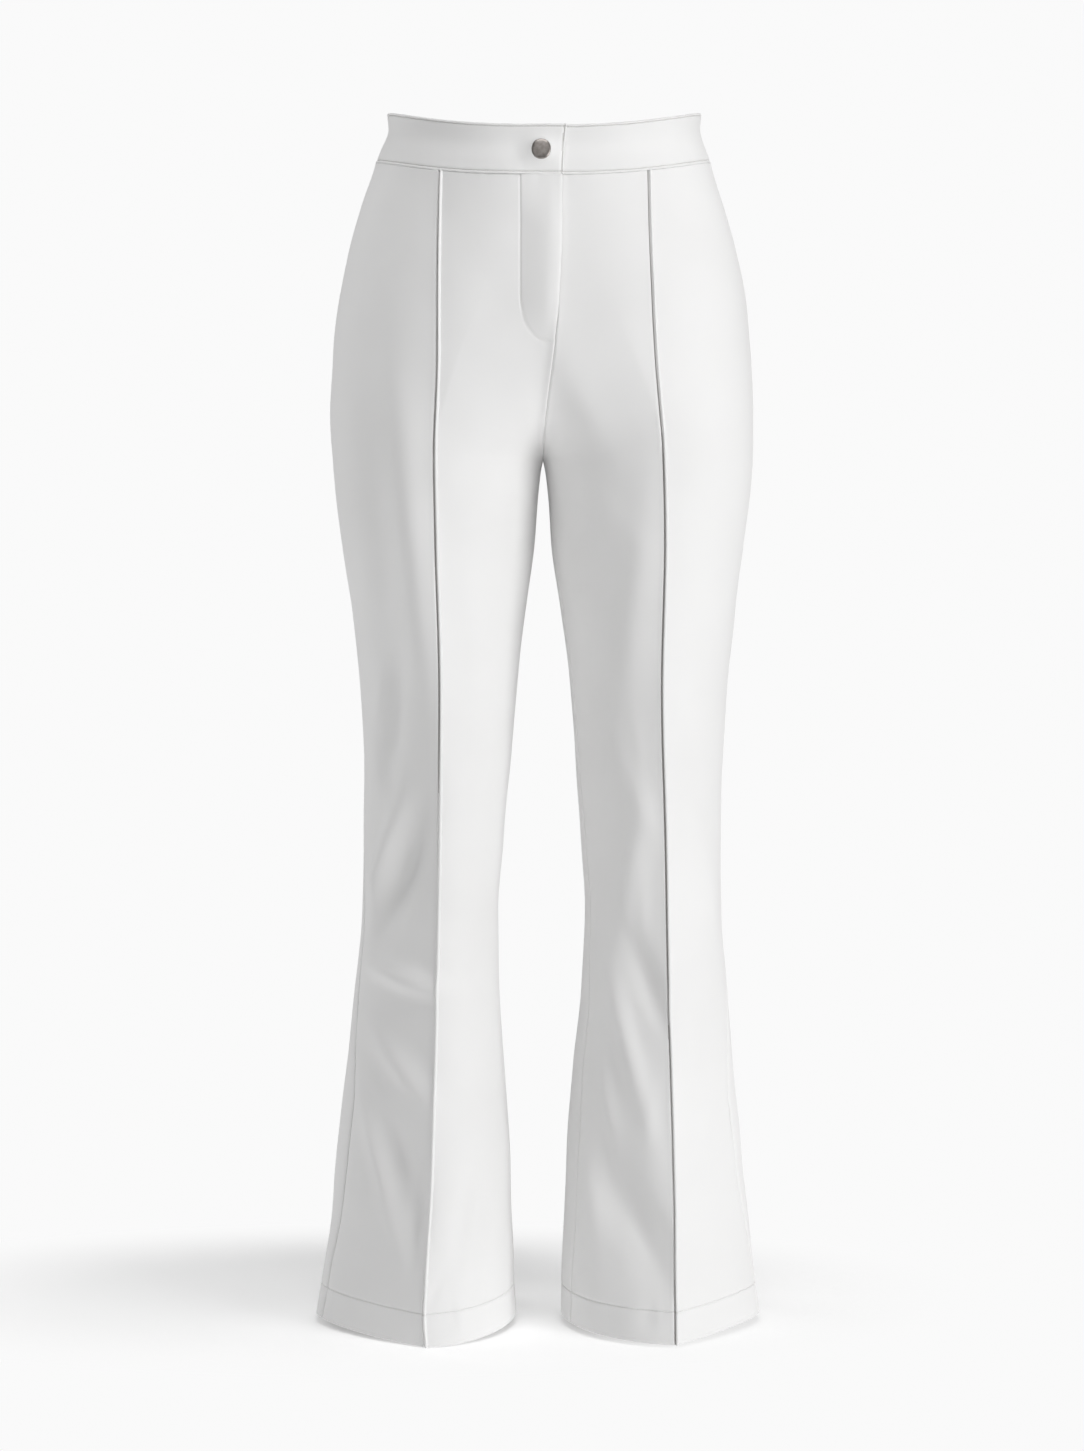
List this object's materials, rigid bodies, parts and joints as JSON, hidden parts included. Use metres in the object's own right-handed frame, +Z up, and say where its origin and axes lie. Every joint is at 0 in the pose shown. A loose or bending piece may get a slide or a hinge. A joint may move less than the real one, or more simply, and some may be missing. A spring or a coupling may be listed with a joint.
{
  "type": "flared softshell ski trousers",
  "caption": "White flared softshell ski trousers, filled out and empty, with a lapped fly, snap waistband and stitched front pintucks.",
  "frame": {"origin": "centre of the waist opening, halfway up the waistband, where the wearer's waist holds the trousers", "axes": "+Z up along the legs, front faces -Y, wearer's left is +X"},
  "size_m": [0.4024, 0.2405, 1.0884],
  "materials": {
    "shell_cloth": "matte white softshell with a fine weave",
    "waistband_cloth": "matte white softshell, doubled and edge stitched",
    "snap_metal": "brushed pewter"
  },
  "bodies": {
    "root": {"front_right": "shell_cloth", "front_left": "shell_cloth", "back_right": "shell_cloth", "back_left": "shell_cloth", "fly_underlap": "shell_cloth", "waistband_right": "waistband_cloth", "waistband_left": "waistband_cloth", "snap_cap": "snap_metal"}
  },
  "joints": []
}
